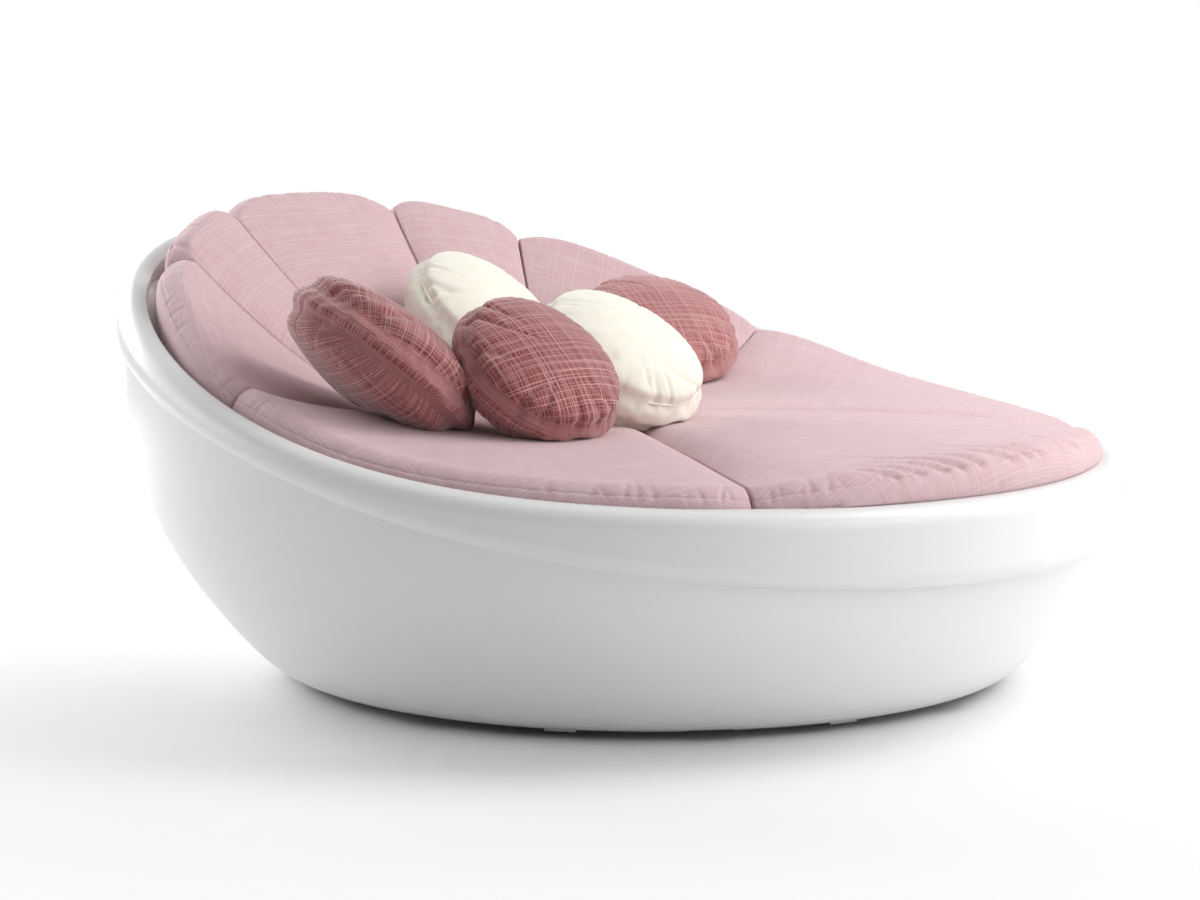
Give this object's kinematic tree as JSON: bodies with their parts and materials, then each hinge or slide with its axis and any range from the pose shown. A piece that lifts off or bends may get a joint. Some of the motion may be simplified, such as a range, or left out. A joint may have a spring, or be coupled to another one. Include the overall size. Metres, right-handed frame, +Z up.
{
  "type": "round day bed",
  "caption": "Round outdoor day bed: leaning moulded bowl with an overhanging rim band on hidden castors, with wedge pads and loose round pillows.",
  "frame": {"origin": "on the floor, under the middle of the bed's bounding box", "axes": "+Y from the low front to the high back, +Z up, +X to the right of someone facing the back; the shell and pads are symmetric about X = 0"},
  "size_m": [2.084, 2.1159, 0.9875],
  "materials": {
    "shell_plastic": "smooth satin to gloss white",
    "pink_fabric": "dusty pink slub weave",
    "red_fabric": "deep red slub weave",
    "rose_fabric": "rose red slub weave",
    "white_fabric": "off-white fine weave",
    "zinc_steel": "zinc plated",
    "white_steel": "white powder coat",
    "wheel_rubber": "matt black",
    "column_plastic": "moulded grey",
    "drain_plastic": "moulded grey"
  },
  "bodies": {
    "bed": {"lower_bowl": "shell_plastic", "upper_tub": "shell_plastic", "drain_grate": "drain_plastic", "column_screws": "zinc_steel", "castor_plates": "zinc_steel", "castor_brackets": "white_steel", "castor_bolts": "zinc_steel", "support_column_1": "column_plastic", "support_column_2": "column_plastic", "support_column_3": "column_plastic", "support_column_4": "column_plastic", "support_column_5": "column_plastic", "support_column_6": "column_plastic", "pad_back": "pink_fabric", "pad_front": "pink_fabric", "pad_back_right": "pink_fabric", "pad_back_left": "pink_fabric", "pad_shoulder_right": "pink_fabric", "pad_shoulder_left": "pink_fabric", "pad_side_right": "pink_fabric", "pad_side_left": "pink_fabric", "pillow_red_left": "red_fabric", "pillow_red_centre": "red_fabric", "pillow_white_right": "white_fabric", "pillow_white_back": "white_fabric", "pillow_rose_right": "rose_fabric"},
    "castor_1_swivel": {"castor_fork_1": "zinc_steel", "castor_axle_1": "zinc_steel"},
    "castor_1_wheel": {"castor_wheel_1": "wheel_rubber"},
    "castor_2_swivel": {"castor_fork_2": "zinc_steel", "castor_axle_2": "zinc_steel"},
    "castor_2_wheel": {"castor_wheel_2": "wheel_rubber"},
    "castor_3_swivel": {"castor_fork_3": "zinc_steel", "castor_axle_3": "zinc_steel"},
    "castor_3_wheel": {"castor_wheel_3": "wheel_rubber"},
    "castor_4_swivel": {"castor_fork_4": "zinc_steel", "castor_axle_4": "zinc_steel"},
    "castor_4_wheel": {"castor_wheel_4": "wheel_rubber"},
    "castor_5_swivel": {"castor_fork_5": "zinc_steel", "castor_axle_5": "zinc_steel"},
    "castor_5_wheel": {"castor_wheel_5": "wheel_rubber"},
    "castor_6_swivel": {"castor_fork_6": "zinc_steel", "castor_axle_6": "zinc_steel"},
    "castor_6_wheel": {"castor_wheel_6": "wheel_rubber"},
    "castor_7_swivel": {"castor_fork_7": "zinc_steel", "castor_axle_7": "zinc_steel"},
    "castor_7_wheel": {"castor_wheel_7": "wheel_rubber"},
    "castor_8_swivel": {"castor_fork_8": "zinc_steel", "castor_axle_8": "zinc_steel"},
    "castor_8_wheel": {"castor_wheel_8": "wheel_rubber"}
  },
  "joints": [
    {"name": "castor_1_swivel_joint", "type": "hinge", "parent": "bed", "child": "castor_1_swivel", "pos_m": [0.25257, 0.53816, 0.062], "axis": [0, 0, 1], "continuous": true},
    {"name": "castor_1_roll_joint", "type": "hinge", "parent": "castor_1_swivel", "child": "castor_1_wheel", "pos_m": [0.26357, 0.55721, 0.025], "axis": [-0.866, 0.5, 0], "continuous": true},
    {"name": "castor_2_swivel_joint", "type": "hinge", "parent": "bed", "child": "castor_2_swivel", "pos_m": [0.60976, 0.18097, 0.062], "axis": [0, 0, 1], "continuous": true},
    {"name": "castor_2_roll_joint", "type": "hinge", "parent": "castor_2_swivel", "child": "castor_2_wheel", "pos_m": [0.60224, 0.20164, 0.025], "axis": [-0.9397, -0.342, 0], "continuous": true},
    {"name": "castor_3_swivel_joint", "type": "hinge", "parent": "bed", "child": "castor_3_swivel", "pos_m": [0.60976, -0.32417, 0.062], "axis": [0, 0, 1], "continuous": true},
    {"name": "castor_3_roll_joint", "type": "hinge", "parent": "castor_3_swivel", "child": "castor_3_wheel", "pos_m": [0.63168, -0.32225, 0.025], "axis": [-0.0872, 0.9962, 0], "continuous": true},
    {"name": "castor_4_swivel_joint", "type": "hinge", "parent": "bed", "child": "castor_4_swivel", "pos_m": [0.25257, -0.68136, 0.062], "axis": [0, 0, 1], "continuous": true},
    {"name": "castor_4_roll_joint", "type": "hinge", "parent": "castor_4_swivel", "child": "castor_4_wheel", "pos_m": [0.2319, -0.67384, 0.025], "axis": [-0.342, -0.9397, 0], "continuous": true},
    {"name": "castor_5_swivel_joint", "type": "hinge", "parent": "bed", "child": "castor_5_swivel", "pos_m": [-0.25257, -0.68136, 0.062], "axis": [0, 0, 1], "continuous": true},
    {"name": "castor_5_roll_joint", "type": "hinge", "parent": "castor_5_swivel", "child": "castor_5_wheel", "pos_m": [-0.24157, -0.70041, 0.025], "axis": [0.866, 0.5, 0], "continuous": true},
    {"name": "castor_6_swivel_joint", "type": "hinge", "parent": "bed", "child": "castor_6_swivel", "pos_m": [-0.60976, -0.32417, 0.062], "axis": [0, 0, 1], "continuous": true},
    {"name": "castor_6_roll_joint", "type": "hinge", "parent": "castor_6_swivel", "child": "castor_6_wheel", "pos_m": [-0.63043, -0.3317, 0.025], "axis": [0.342, -0.9397, 0], "continuous": true},
    {"name": "castor_7_swivel_joint", "type": "hinge", "parent": "bed", "child": "castor_7_swivel", "pos_m": [-0.60976, 0.18097, 0.062], "axis": [0, 0, 1], "continuous": true},
    {"name": "castor_7_roll_joint", "type": "hinge", "parent": "castor_7_swivel", "child": "castor_7_wheel", "pos_m": [-0.59071, 0.19197, 0.025], "axis": [-0.5, 0.866, 0], "continuous": true},
    {"name": "castor_8_swivel_joint", "type": "hinge", "parent": "bed", "child": "castor_8_swivel", "pos_m": [-0.25257, 0.53816, 0.062], "axis": [0, 0, 1], "continuous": true},
    {"name": "castor_8_roll_joint", "type": "hinge", "parent": "castor_8_swivel", "child": "castor_8_wheel", "pos_m": [-0.23352, 0.52716, 0.025], "axis": [0.5, 0.866, 0], "continuous": true}
  ]
}
